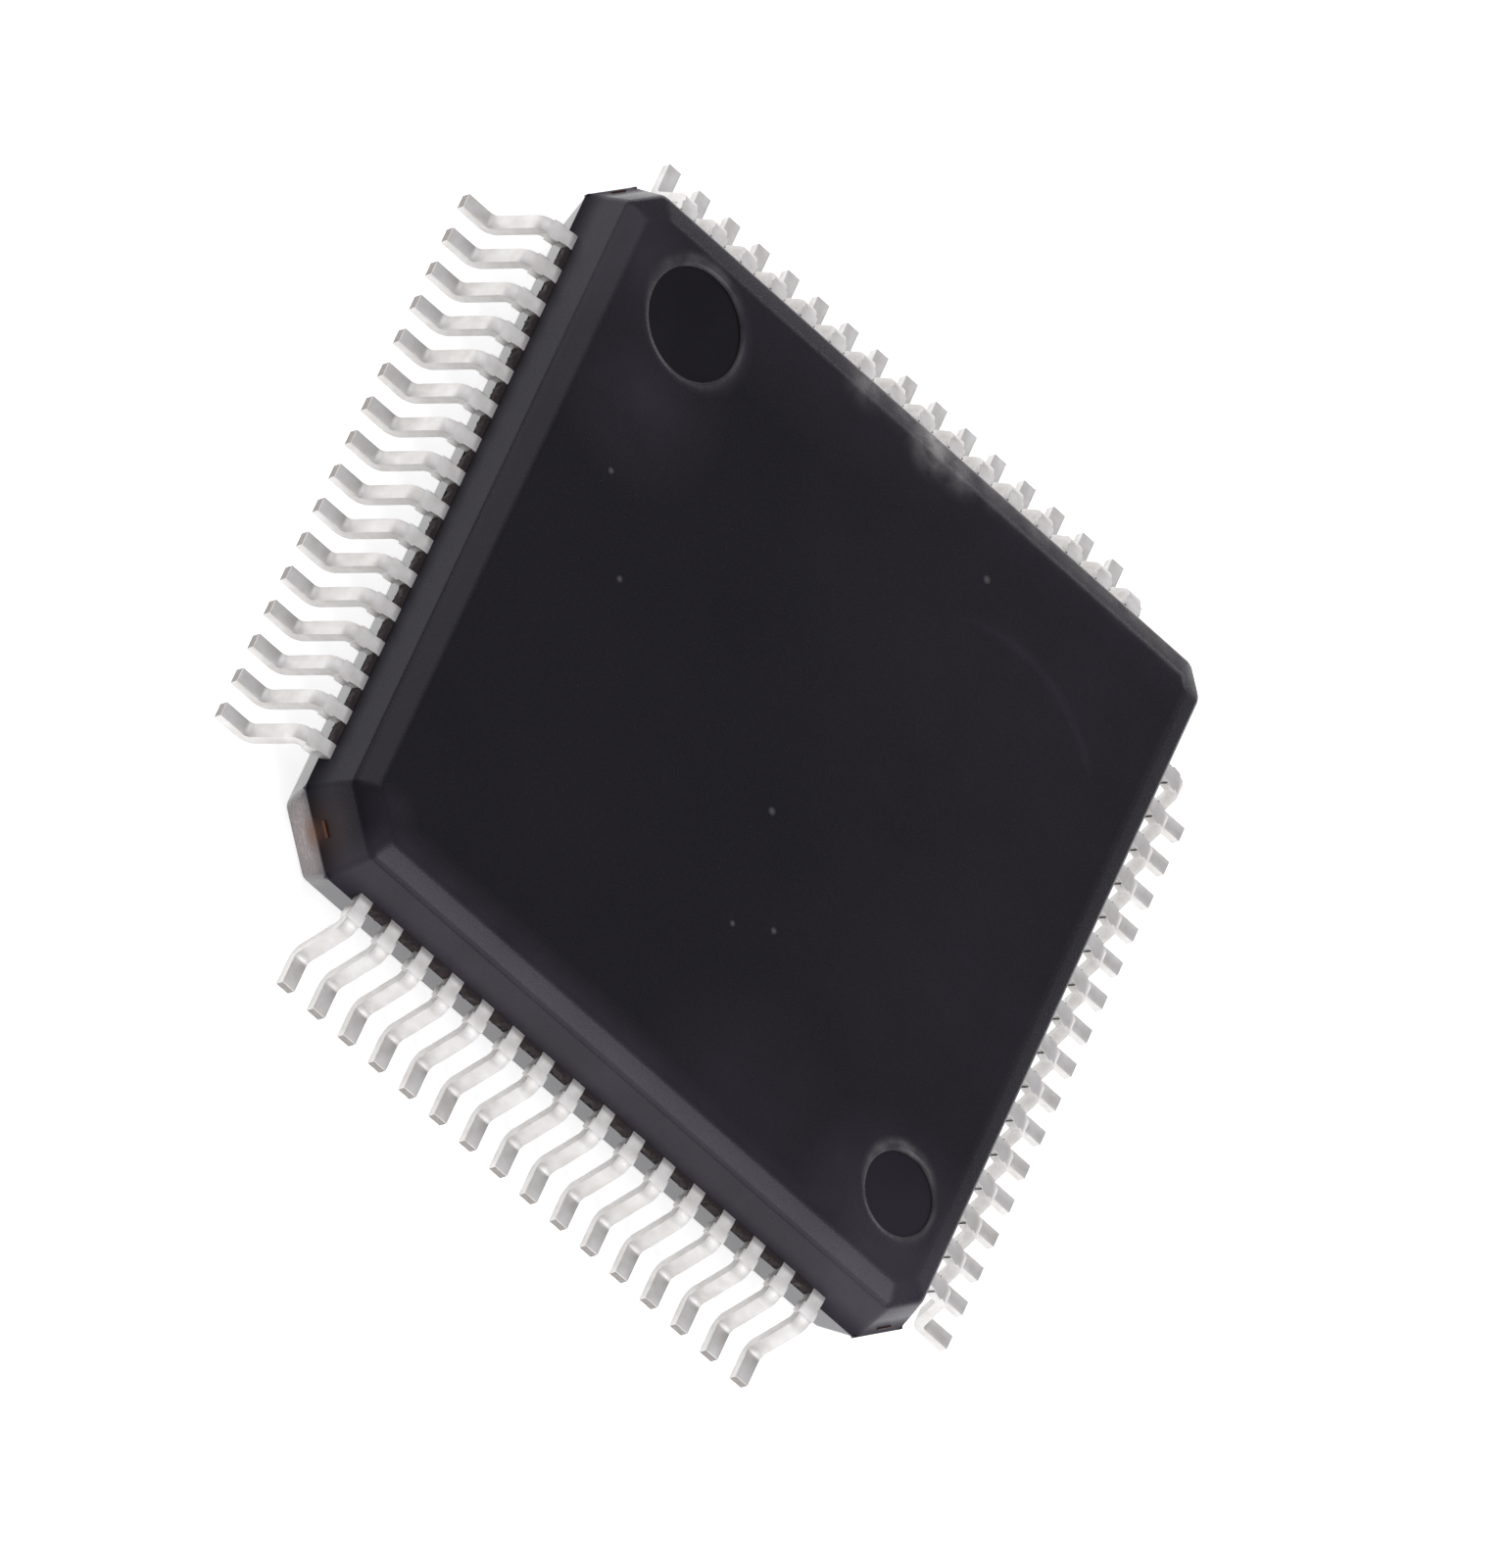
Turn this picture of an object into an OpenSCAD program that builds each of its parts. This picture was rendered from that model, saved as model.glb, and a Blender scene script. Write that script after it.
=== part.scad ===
// Quad flat pack: a square moulded chip package with gull-wing leads on all four sides.
// The origin is on the board under the middle of the package, +Z points away from the board.
// Pin 1 is the first lead of the +X side, next to the small round mark, and the pins count
// anticlockwise as seen from above: +X side, +Y side, -X side, -Y side.

/* [Body] */
// Width of the moulded body across its parting line
body_w = 10; // [9.8:0.05:10.2]
// Thickness of the moulded body
body_t = 1.4; // [1.3:0.05:1.6]
// Gap between the board and the underside of the body
standoff = 0.05; // [0.05:0.01:0.15]
// Draft of the side walls, in degrees from the vertical
wall_draft = 20; // [8:1:24]
// Width of the bevel round the top face
bevel_w = 0.28; // [0.1:0.02:0.4]
// Height of the bevel round the top face
bevel_h = 0.1; // [0.04:0.01:0.16]

/* [Corners] */
// Leg of the cut at the -X -Y corner, where the mould is filled
cut_gate = 0.74; // [0.5:0.02:0.9]
// Leg of the cut at the +X -Y corner, next to pin 1
cut_pin_1 = 0.51; // [0.4:0.01:0.7]
// Leg of the cut at the +X +Y corner
cut_far = 0.42; // [0.4:0.01:0.7]
// Leg of the cut at the -X +Y corner
cut_left = 0.52; // [0.4:0.01:0.7]

/* [Round marks] */
// Diameter of the pin 1 mark
pin_1_mark_d = 1.1; // [0.6:0.05:1.3]
// Distance of the pin 1 mark from the two middle planes, along X
pin_1_mark_x = 3.85; // [3:0.05:3.9]
// Distance of the pin 1 mark from the two middle planes, along Y
pin_1_mark_y = 3.55; // [3:0.05:3.9]
// Diameter of the ejector mark
ejector_mark_d = 1.4; // [0.8:0.05:1.6]
// Distance of the ejector mark from the two middle planes, along X
ejector_mark_x = 3.37; // [2.8:0.05:3.7]
// Distance of the ejector mark from the two middle planes, along Y
ejector_mark_y = 3.65; // [2.8:0.05:3.7]
// Depth of both marks
mark_depth = 0.05; // [0.02:0.01:0.12]

/* [Leads outside the body] */
// Leads on each side
leads_per_side = 16; // [16]
// Distance between neighbouring leads
pitch = 0.5; // [0.48:0.005:0.5]
// Overall width over the tips of opposite leads
span = 12.07; // [11.9:0.01:12.2]
// Thickness of the lead frame sheet
sheet_t = 0.127; // [0.1:0.001:0.15]
// Width of a lead
lead_w = 0.2; // [0.17:0.01:0.23]
// Width of a lead where the dam bar was trimmed off
dam_w = 0.25; // [0.24:0.01:0.28]
// Distance from the parting line to the trimmed dam bar
dam_gap = 0.08; // [0.05:0.01:0.12]
// Length of the trimmed dam bar along the lead
dam_l = 0.2; // [0.1:0.01:0.22]
// Distance from the parting line to the heel, where the lead turns down
shoulder_l = 0.35; // [0.32:0.01:0.38]
// Fall of the shoulder, in degrees
shoulder_fall = 14; // [0:1:18]
// Slope of the lead below its heel, in degrees
lead_slope = 72; // [64:1:80]
// Inner radius of the heel and toe bends
bend_r = 0.09; // [0.06:0.01:0.11]
// Height of the lead frame's middle above the parting line
frame_lift = 0.09; // [0.07:0.005:0.12]

/* [Lead frame inside the body] */
// Distance from the middle of the package to the tips of the fingers
finger_tip_x = 2.9; // [2.85:0.05:3.1]
// Width of a finger at its tip
finger_tip_w = 0.17; // [0.13:0.01:0.19]
// Distance between neighbouring finger tips
finger_pitch = 0.335; // [0.32:0.005:0.34]
// Length of the straight part of a finger behind the wall
finger_root_l = 0.65; // [0.5:0.05:0.9]
// Width of the square die pad
pad_w = 5; // [4.8:0.05:5.1]
// Depth of the die pad below the fingers
pad_drop = 0.2; // [0.14:0.01:0.24]
// Width of a tie bar
tie_w = 0.2; // [0.15:0.01:0.24]
// Slope of a tie bar between the die pad and the level of the fingers, in degrees
tie_slope = 35; // [25:1:45]
// Length of a tie bar's level part next to the die pad
tie_foot_l = 0.1; // [0.05:0.01:0.2]

/* [Die and wires] */
// Width of the square die
die_w = 3.6; // [3:0.1:4.2]
// Thickness of the die
die_t = 0.25; // [0.2:0.01:0.3]
// Thickness of the adhesive under the die
attach_t = 0.025; // [0.02:0.005:0.04]
// Rim of adhesive that stands out round the die
attach_rim = 0.06; // [0.03:0.01:0.1]
// Distance from the edge of the die to its bond pads
bond_inset = 0.1; // [0.07:0.01:0.15]
// Distance between neighbouring bond pads
bond_pitch = 0.18; // [0.15:0.005:0.185]
// Diameter of a bond wire
wire_d = 0.025; // [0.018:0.001:0.03]
// Diameter of the ball at the die end of a wire
ball_d = 0.07; // [0.05:0.005:0.09]
// Height of that ball
ball_h = 0.02; // [0.015:0.001:0.03]
// Height of a wire's loop above the die
loop_h = 0.14; // [0.1:0.01:0.18]
// Length of the stitch at the finger end of a wire
stitch_l = 0.1; // [0.06:0.01:0.12]
// Distance from a finger's tip to its stitch
stitch_inset = 0.06; // [0.04:0.01:0.1]

/* [Hidden] */
first_pins = [for (pin = [1:4:61]) pin];
side_names = ["east", "north", "west", "south"];

// Levels, from the board up
body_z = standoff;
top_z = standoff + body_t;
split_z = standoff + body_t / 2;
frame_z = split_z + frame_lift;
finger_top_z = frame_z + sheet_t / 2;
pad_top_z = finger_top_z - pad_drop;
die_z = pad_top_z + attach_t;
die_top_z = die_z + die_t;

// Half widths of the body at its levels
split_x = body_w / 2;
rim_x = split_x - (body_t / 2 - bevel_h) * tan(wall_draft);
foot_x = split_x - body_t / 2 * tan(wall_draft);

// Middle line of a lead, seen from its side: the root in the wall, the shoulder's heel,
// the toe bend and the tip
root_x = split_x;
heel = [split_x + shoulder_l, frame_z - shoulder_l * tan(shoulder_fall)];
tip = [span / 2, sheet_t / 2];
toe = [heel.x + (heel.y - tip.y) / tan(lead_slope), tip.y];
mid_bend_r = bend_r + sheet_t / 2;

// Steps of an arc in an outline
arc_step = 12;
// Stock that cuts and outlines reach past the part
over = 1;
// Depth that one drawn shape reaches into the next of the same piece
lap = 0.01;

silver = "#c9c8c4";
copper = "#b8703f";

function digits(pin) = str(pin < 10 ? "0" : "", pin);
function lead_node(pin) = str("leads_", digits(pin), "_", digits(pin + 3));
function wire_node(side) = str("wires_", side_names[side]);
function across(i) = i - (leads_per_side - 1) / 2;

// Outline points of one edge of a bent strip: the path p, moved off by d, with each inner
// corner turned on a radius so that the strip keeps its thickness
function heading(a, b) = atan2(b.y - a.y, b.x - a.x);
function normal(angle) = [-sin(angle), cos(angle)];
function bend_edge(a, b, c, d) =
    let (
        into = heading(a, b),
        out = heading(b, c),
        turn = out - into,
        side = turn > 0 ? 1 : -1,
        centre = b + mid_bend_r * normal((into + out) / 2) * side / cos(turn / 2),
        r = side * mid_bend_r - d,
        steps = max(2, ceil(abs(turn) / arc_step))
    )
    [for (i = [0:steps]) centre - r * normal(into + turn * i / steps)];
function strip_edge(p, d) = concat(
    [p[0] + d * normal(heading(p[0], p[1]))],
    [for (i = [1:len(p) - 2]) each bend_edge(p[i - 1], p[i], p[i + 1], d)],
    [p[len(p) - 1] + d * normal(heading(p[len(p) - 2], p[len(p) - 1]))]
);
function reversed(list) = [for (i = [len(list) - 1:-1:0]) list[i]];

// Side view of a bent strip of sheet that follows the path p
module strip(p) {
    polygon(concat(strip_edge(p, -sheet_t / 2), reversed(strip_edge(p, sheet_t / 2))));
}

// Stands a side view up along +X and gives it the width w
module stand(w) {
    rotate([90, 0, 0]) linear_extrude(height = w, center = true) children();
}

// Section of the body: drafted below and above the parting line, bevelled at the top
module body_section() {
    polygon([
        [foot_x, body_z], [split_x, split_z], [rim_x, top_z - bevel_h], [rim_x - bevel_w, top_z],
        [bevel_w - rim_x, top_z], [-rim_x, top_z - bevel_h], [-split_x, split_z], [-foot_x, body_z]
    ]);
}

// What the cut corner takes off: the body's own section, turned by 45 degrees and moved so
// that it leaves a leg of the given length at the parting line
module corner_stock(angle, leg) {
    reach = split_x * sqrt(2) - leg / sqrt(2);
    rotate(angle) translate([reach - split_x, 0, 0]) difference() {
        translate([0, -body_w, body_z - over]) cube([body_w, 2 * body_w, body_t + 2 * over]);
        stand(3 * body_w) body_section();
    }
}

module mark(d, x, y) {
    translate([x, y, top_z - mark_depth]) cylinder(d = d, h = mark_depth + over, $fn = 64);
}

module mould() {
    difference() {
        intersection() {
            stand(2 * body_w) body_section();
            rotate(90) stand(2 * body_w) body_section();
        }
        corner_stock(-45, cut_pin_1);
        corner_stock(45, cut_far);
        corner_stock(135, cut_left);
        corner_stock(225, cut_gate);
        mark(pin_1_mark_d, pin_1_mark_x, -pin_1_mark_y);
        mark(ejector_mark_d, -ejector_mark_x, ejector_mark_y);
    }
}

// The moulding compound fills everything round what it holds
module body() {
    color("#26262b") difference() {
        mould();
        for (pin = first_pins) leads(pin);
        die_pad();
        die_attach();
        die();
        for (side = [0:3]) wires(side);
    }
}

// Plan of a lead, along +X: the finger that leans to the die, the straight root, the trimmed
// dam bar and the plain tip
module lead_plan(i) {
    y = across(i) * pitch;
    tip_y = across(i) * finger_pitch;
    fan_x = split_x - finger_root_l;
    dam_x = split_x + dam_gap;
    polygon([
        [finger_tip_x, tip_y - finger_tip_w / 2], [fan_x, y - lead_w / 2],
        [dam_x, y - lead_w / 2], [dam_x, y - dam_w / 2],
        [dam_x + dam_l, y - dam_w / 2], [dam_x + dam_l, y - lead_w / 2],
        [span / 2 + over, y - lead_w / 2], [span / 2 + over, y + lead_w / 2],
        [dam_x + dam_l, y + lead_w / 2], [dam_x + dam_l, y + dam_w / 2],
        [dam_x, y + dam_w / 2], [dam_x, y + lead_w / 2],
        [fan_x, y + lead_w / 2], [finger_tip_x, tip_y + finger_tip_w / 2]
    ]);
}

// One lead, stamped to its plan and bent to its side view
module lead(i) {
    intersection() {
        linear_extrude(height = top_z) lead_plan(i);
        stand(body_w) strip([[0, frame_z], [root_x, frame_z], heel, toe, tip]);
    }
}

// Four leads, from the given pin on
module leads(first_pin) {
    color(silver) for (pin = [first_pin:first_pin + 3]) {
        side = floor((pin - 1) / leads_per_side);
        rotate(90 * side) lead((pin - 1) % leads_per_side);
    }
}

// One tie bar, along +X, from the pad's corner up to the level of the fingers and out to the
// cut corner
module tie_bar(angle, leg) {
    corner_x = pad_w / sqrt(2);
    pad_z = frame_z - pad_drop;
    ramp_x = corner_x + tie_foot_l;
    end_x = (body_w - leg) / sqrt(2) - frame_lift * tan(wall_draft);
    rotate(angle) intersection() {
        translate([0, -tie_w / 2, 0]) cube([end_x, tie_w, top_z]);
        stand(body_w) strip([
            [corner_x - tie_w, pad_z], [ramp_x, pad_z],
            [ramp_x + pad_drop / tan(tie_slope), frame_z], [end_x + over, frame_z]
        ]);
    }
}

module die_pad() {
    color(copper) {
        translate([-pad_w / 2, -pad_w / 2, pad_top_z - sheet_t]) cube([pad_w, pad_w, sheet_t]);
        tie_bar(-45, cut_pin_1);
        tie_bar(45, cut_far);
        tie_bar(135, cut_left);
        tie_bar(225, cut_gate);
    }
}

module square_plate(w, z, t) {
    translate([-w / 2, -w / 2, z]) cube([w, w, t]);
}

module die_attach() {
    color("#8f8f8c") square_plate(die_w + 2 * attach_rim, pad_top_z, attach_t);
}

module die() {
    color("#5a5f6b") square_plate(die_w, die_z, die_t);
}

// One bond wire: a ball on the die, a short rise, a long span and a stitch on the finger
module wire(i) {
    start = [die_w / 2 - bond_inset, across(i) * bond_pitch];
    end_x = finger_tip_x + stitch_inset;
    fan = (across(i) * pitch - across(i) * finger_pitch) / (split_x - finger_root_l - finger_tip_x);
    end = [end_x, across(i) * finger_pitch + fan * stitch_inset];
    reach = norm(end - start);
    turn = heading(start, end);
    crest_z = die_top_z + loop_h;
    seat_z = finger_top_z + wire_d / 2;
    fall = atan2(crest_z - seat_z, reach);
    translate([start.x, start.y, 0]) rotate(turn) {
        translate([0, 0, die_top_z]) cylinder(d = ball_d, h = ball_h, $fn = 8);
        translate([0, 0, die_top_z + ball_h - lap])
            cylinder(d = wire_d, h = loop_h - ball_h + lap + wire_d / 2, $fn = 8);
        translate([0, 0, crest_z]) rotate([0, 90 + fall, 0])
            cylinder(d = wire_d, h = reach / cos(fall), $fn = 8);
        translate([reach - wire_d, -wire_d, finger_top_z]) cube([stitch_l, 2 * wire_d, wire_d]);
    }
}

module wires(side) {
    color("#d9a94a") rotate(90 * side) for (i = [0:leads_per_side - 1]) wire(i);
}

body();
die_pad();
die_attach();
die();
for (pin = first_pins) leads(pin);
for (side = [0:3]) wires(side);
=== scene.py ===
"""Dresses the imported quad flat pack: moulded body, plated leads, copper, die and gold wires."""

import math
import random

import bmesh
import bpy
from mathutils import Matrix, Vector


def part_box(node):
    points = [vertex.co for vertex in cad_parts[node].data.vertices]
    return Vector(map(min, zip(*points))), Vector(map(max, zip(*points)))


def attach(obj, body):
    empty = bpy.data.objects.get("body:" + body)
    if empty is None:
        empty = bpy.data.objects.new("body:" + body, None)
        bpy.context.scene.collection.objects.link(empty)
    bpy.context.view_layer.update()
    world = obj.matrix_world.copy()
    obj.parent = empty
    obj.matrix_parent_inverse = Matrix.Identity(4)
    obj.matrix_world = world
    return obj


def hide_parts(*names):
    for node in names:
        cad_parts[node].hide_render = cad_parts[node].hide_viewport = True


bl_info = {
    "name": "Quad Flat Pack Finish",
    "version": (1, 0, 0),
    "blender": (4, 5, 0),
    "location": "3D View > Sidebar > Chip",
    "description": "Models and finishes a quad flat pack round its packed frame",
    "category": "Object",
}

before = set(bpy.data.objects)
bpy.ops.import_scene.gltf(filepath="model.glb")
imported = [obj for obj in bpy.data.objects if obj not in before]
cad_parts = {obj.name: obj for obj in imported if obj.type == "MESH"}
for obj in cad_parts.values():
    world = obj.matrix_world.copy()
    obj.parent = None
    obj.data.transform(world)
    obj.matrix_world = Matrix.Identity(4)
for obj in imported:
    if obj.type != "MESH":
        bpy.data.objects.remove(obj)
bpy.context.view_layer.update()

MM = 0.001
SIDES = 4
SIDE_TURN = math.pi / 2
SLACK = 1e-6  # how far a point may lie from the place where it is looked for
SAME_PLACE = 2e-7  # two points that are closer than this are one
SQUARE = 0.99  # a face is square to an axis when its normal's share of it is past this

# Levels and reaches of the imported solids, in metres
BODY_LOW, BODY_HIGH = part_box("body")
LEAD_LOW, LEAD_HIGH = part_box("leads_01_04")
NEXT_LEAD_LOW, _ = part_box("leads_05_08")
LEADS_A_NODE = 4
LEADS_A_SIDE = 16
LEAD_PITCH = (NEXT_LEAD_LOW.y - LEAD_LOW.y) / LEADS_A_NODE


# ---------------------------------------------------------------- settings


def srgb(code):
    """Linear colour of an sRGB hex code."""
    parts = [int(code[i : i + 2], 16) / 255 for i in (1, 3, 5)]
    linear = [c / 12.92 if c <= 0.04045 else ((c + 0.055) / 1.055) ** 2.4 for c in parts]
    return (*linear, 1.0)


def length_property(name, description, millimetres):
    """A length in the scene's metres, given as the millimetres that it is known by."""
    return bpy.props.FloatProperty(
        name=name, description=description, default=millimetres * MM,
        min=0.0, subtype="DISTANCE", unit="LENGTH", precision=6,
    )


def angle_property(name, description, degrees):
    """An angle, given in degrees."""
    return bpy.props.FloatProperty(
        name=name, description=description, default=math.radians(degrees), subtype="ANGLE"
    )


def colour_property(name, description, code):
    """A colour, given by its sRGB hex code."""
    return bpy.props.FloatVectorProperty(
        name=name, description=description, default=srgb(code), size=4,
        subtype="COLOR", min=0.0, max=1.0,
    )


def light_property(name, description, brightness):
    """A brightness, of which 1 shows as white."""
    return bpy.props.FloatProperty(
        name=name, description=description, default=brightness, min=0.0, subtype="FACTOR"
    )


class BodySettings(bpy.types.PropertyGroup):
    """Sizes and colours of the moulded body."""

    bevel_w: length_property("Top bevel width", "Width of the bevel round the top face", 0.28)
    bevel_h: length_property("Top bevel height", "Height of the bevel round the top face", 0.10)
    draft: angle_property("Draft", "Draft of the side walls", 20)
    land: length_property("Parting land", "Height of the parting line's land", 0.02)
    edge_r: length_property("Edge rounding", "Rounding of the moulded edges", 0.055)
    cut_gate: length_property("Gate corner", "Leg of the cut where the mould is filled", 0.74)
    cut_pin_1: length_property("Pin 1 corner", "Leg of the cut next to pin 1", 0.51)
    cut_far: length_property("Far corner", "Leg of the cut across from the gate", 0.42)
    cut_left: length_property("Left corner", "Leg of the cut across from pin 1", 0.52)
    mark_depth: length_property("Mark depth", "Depth of the two round marks", 0.05)
    rim_w: length_property("Mark rim width", "Width of the rounded rim of a round mark", 0.09)
    rim_h: length_property("Mark rim height", "Height of the rounded rim of a round mark", 0.04)
    pin_1_mark_x: length_property("Pin 1 mark X", "Place of the pin 1 mark along X", 3.85)
    pin_1_mark_y: length_property("Pin 1 mark Y", "Place of the pin 1 mark along -Y", 3.55)
    pin_1_mark_r: length_property("Pin 1 mark radius", "Radius of the pin 1 mark's floor", 0.50)
    ejector_mark_x: length_property("Ejector mark X", "Place of the ejector mark along -X", 3.37)
    ejector_mark_y: length_property("Ejector mark Y", "Place of the ejector mark along Y", 3.65)
    ejector_mark_r: length_property("Ejector mark radius", "Radius of the ejector's floor", 0.68)
    compound: colour_property("Compound", "Colour of the moulding compound", "#0B0910")


class FlashSettings(bpy.types.PropertyGroup):
    """Sizes and colour of the resin flash between the leads, whose dark webs also paint the shade
    at the lead roots.
    """

    root: length_property("Flash root", "How far the flash starts behind the parting line", 0.06)
    reach: length_property("Flash reach", "Mean reach of the flash past the parting line", 0.10)
    rag: length_property("Flash rag", "How far the torn edge strays from its mean", 0.025)
    gap: length_property("Flash gap", "From the middle of a lead to the flash", 0.102)
    sunk: length_property("Flash sunk", "Flash surfaces below those of the leads", 0.008)
    edge_r: length_property("Flash edge", "Rounding of the flash edges", 0.008)
    resin: colour_property("Flash resin", "Colour of the torn resin", "#2C2427")


class LeadSettings(bpy.types.PropertyGroup):
    """Sizes and colours of the leads."""

    sheet_t: length_property("Sheet thickness", "Thickness of the lead frame sheet", 0.127)
    lead_w: length_property("Lead width", "Width of a lead", 0.20)
    dam_w: length_property("Dam width", "Width where the dam bar was trimmed", 0.25)
    dam_gap: length_property("Dam gap", "From the parting line to the trimmed dam bar", 0.12)
    dam_l: length_property("Dam length", "Length of the trimmed dam bar", 0.14)
    finger_tip_w: length_property("Finger tip width", "Width of a finger at its tip", 0.17)
    finger_pitch: length_property("Finger pitch", "Distance between finger tips", 0.335)
    finger_root_l: length_property("Finger root", "Straight part behind the wall", 0.65)
    shoulder_l: length_property("Shoulder", "From the parting line to the heel", 0.35)
    shoulder_fall: angle_property("Shoulder fall", "Fall of the shoulder", 14)
    lead_slope: angle_property("Lead slope", "Slope of the lead below its heel", 72)
    bend_r: length_property("Bend radius", "Inner radius of the heel and toe bends", 0.09)
    edge_r: length_property("Edge radius", "Radius of the sheared edges", 0.012)
    tin: colour_property("Tin", "Colour of the tin plating", "#E1E0DF")
    cut_end: colour_property("Cut end", "Colour of the sheared tip", "#A3A19F")


class StageSettings(bpy.types.PropertyGroup):
    """Camera, lights and floor."""

    azimuth: angle_property("Azimuth", "Side that the camera looks from", -38.8064)
    elevation: angle_property("Elevation", "Height of the camera above the horizon", 48.0007)
    roll: angle_property("Roll", "Turn of the camera about its line of sight", 72.2471)
    distance: length_property("Distance", "From the camera to the chip", 385.8)
    aim_right: length_property("Aim right", "View centre, right of the body's middle", 0.0977)
    aim_down: length_property("Aim down", "View centre, below the body's middle", 0.26)
    lens: bpy.props.FloatProperty(
        name="Lens", description="Focal length of the camera", default=777.03, unit="CAMERA"
    )
    floor_r: length_property("Floor radius", "Radius of the flat paper under the chip", 1000)
    cove_r: length_property("Cove radius", "Radius on which the paper curves up all round", 100)
    floor: colour_property("Floor", "Colour of the paper under the chip", "#F7F7F6")
    floor_glow: light_property("Floor glow", "Light that passes up through the paper", 0.75)
    high_light: light_property("High softbox", "Brightness of the softbox high in front", 2.85)
    front_light: light_property("Front softbox", "Brightness of the softbox in front", 1.35)
    left_light: light_property("Left softbox", "Brightness of the softbox on the left", 1.05)
    back_light: light_property("Back softbox", "Brightness of the small softbox behind", 3.6)
    box_distance: length_property("Softbox distance", "From each softbox to the chip", 1200)
    room: colour_property("Room", "Colour of the unlit room", "#9C9B9F")


# ---------------------------------------------------------------- materials

NOISE = (0.3, 0.7)  # values that a noise mostly lies between


def add_node(tree, kind, inputs=(), **attributes):
    """Adds a node with its settings. Each input, in order or by name or place, takes a value or a
    link from an output, and a node stands for its first output."""
    node = tree.nodes.new("ShaderNode" + kind)
    for key, value in attributes.items():
        setattr(node, key, value)
    for key, value in inputs.items() if isinstance(inputs, dict) else enumerate(inputs):
        if isinstance(value, bpy.types.Node):
            value = value.outputs[0]
        if isinstance(value, bpy.types.NodeSocket):
            tree.links.new(value, node.inputs[key])
        else:
            node.inputs[key].default_value = value
    return node


def new_material(name):
    """A material that has no nodes yet but the piece's own coordinates."""
    material = bpy.data.materials.new(name)
    material.use_nodes = True
    tree = material.node_tree
    tree.nodes.clear()
    return material, tree, add_node(tree, "TexCoord").outputs["Object"]


def finish_material(material, shader_inputs):
    """Gives a material its one shader, with its plain values and its links."""
    tree = material.node_tree
    shader = add_node(tree, "BsdfPrincipled", shader_inputs)
    add_node(tree, "OutputMaterial", {"Surface": shader})
    return material


def spots(millimetres):
    """Scale of a pattern whose spots are about so many millimetres across."""
    return 1 / (millimetres * MM)


def join_masks(tree, operation, first, *others):
    """Joins masks: MAXIMUM keeps the strongest one, MULTIPLY keeps where they overlap."""
    joined = first
    for mask in others:
        joined = add_node(tree, "Math", (joined, mask), operation=operation)
    return joined


def lay_over(tree, colour, *films):
    """Lays films on a colour, one over the other, each given by its mask and its own colour."""
    for mask, film in films:
        mix = add_node(tree, "Mix", {"Factor": mask, 6: colour, 7: film}, data_type="RGBA")
        colour = mix.outputs[2]
    return colour


def mottle(tree, noise, first, second):
    """Two colours in patches that follow a noise."""
    return lay_over(tree, first, (add_node(tree, "MapRange", (noise, *NOISE, 0.0, 1.0)), second))


def fade(tree, coordinates, place, full, none, strength=1.0):
    """Mask that fades as the distance from a place, in millimetres, goes from full to none."""
    points = coordinates, tuple(c * MM for c in place)
    distance = add_node(tree, "VectorMath", points, operation="DISTANCE").outputs["Value"]
    return add_node(tree, "MapRange", (distance, none * MM, full * MM, 0.0, strength))


def edge_mask(tree, place, across, along, strength):
    """Mask along an edge of the top, from where it starts to where it is full, in millimetres."""
    bands = [
        add_node(tree, "MapRange", (place.outputs[axis], start * MM, full * MM, 0.0, most))
        for axis, (start, full), most in (("Y", across, 1.0), ("X", along, strength))
    ]
    return join_masks(tree, "MULTIPLY", *bands)


TOP_Z = BODY_HIGH.z / MM

# What has touched the moulded body, and the painted reflections and highlights on it. Places and
# reaches are in millimetres, and a place is followed by the reach where the mask is full, the
# reach where it ends and its strength
# The broad films towards the +X and +Y sides are painted reflection as much as dust: they lighten
# the top where more light would be reflected.
HAZE_AND_REFLECTION = (  # films of dust and mould release, and of what is left round the marks
    ((-3.6, 2.4, TOP_Z), 0.1, 1.3, 0.52),
    ((-4.3, 4.0, TOP_Z), 0.2, 1.6, 0.62),
    ((4.1, -4.4, TOP_Z), 0.4, 2.1, 1.10),
    ((3.0, 3.0, TOP_Z), 0.5, 4.5, 0.24),
    ((4.0, -1.0, TOP_Z), 0.5, 3.4, 0.25),
    ((1.8, -4.2, TOP_Z), 0.4, 2.0, 0.30),
    ((-4.22, -4.22, TOP_Z), 0.12, 0.4, 0.32),
    ((3.85, -3.55, TOP_Z), 0.60, 0.74, 0.50),
    ((-3.37, 3.65, TOP_Z), 0.76, 0.92, 0.50),
)
# The film over the pin 1 mark, like the films round it, is partly painted reflection
PRESSED_FILM_AND_REFLECTION = ((4.1, -4.2, TOP_Z), 0.4, 2.6, 0.45)
# These bands along the +Y and -Y edges are painted reflection, laid as a pale film where the edges
# would reflect more light.
EDGE_REFLECTION_FILMS = (  # where each starts and is full, first along Y and then along X, and its strength
    ((3.3, 4.8), (-6.0, -5.0), 0.42),
    ((4.50, 4.80), (-6.0, -5.0), 0.6),
    ((-4.12, -4.46), (-4.45, -4.20), 0.56),
)
RUBBED_EDGE = ((4.34, 4.84), (-1.7, -0.9), 0.64)  # given as the edge films are
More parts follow.
